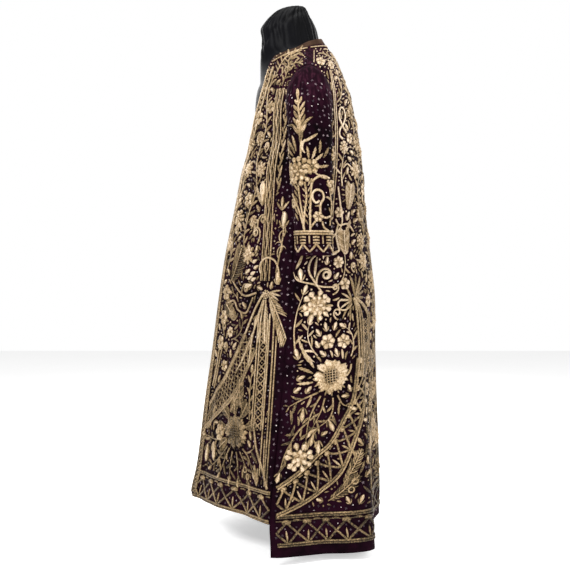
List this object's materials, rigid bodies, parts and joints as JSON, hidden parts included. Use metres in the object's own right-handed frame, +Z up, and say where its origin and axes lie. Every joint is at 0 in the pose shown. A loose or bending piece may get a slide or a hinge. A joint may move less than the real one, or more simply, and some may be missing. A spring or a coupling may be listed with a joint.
{
  "type": "kaftan on dress form",
  "caption": "Long velvet robe with couched metal-thread flowers, open front, side slits and hanging sleeves, worn by a limbless black dress form on a plate stand.",
  "frame": {"origin": "middle of the underside of the stand's plate, where the part rests on the floor", "axes": "+Z up, -Y towards the robe's open front, +X to the robe's left"},
  "size_m": [0.7124, 0.532, 1.4775],
  "materials": {
    "velvet": "dark aubergine velvet with a soft pile",
    "collar_velvet": "dark brown velvet band with a light cord on its edge",
    "form_cloth": "black satin cloth",
    "stand_steel": "satin black powder coat",
    "metal_thread": "aged pale gold couched thread"
  },
  "bodies": {
    "root": {"front_left": "velvet", "front_right": "velvet", "back": "velvet", "sleeve_left": "velvet", "sleeve_right": "velvet", "collar": "collar_velvet", "form": "form_cloth", "stand_pole": "stand_steel", "stand_base": "stand_steel"}
  },
  "joints": []
}
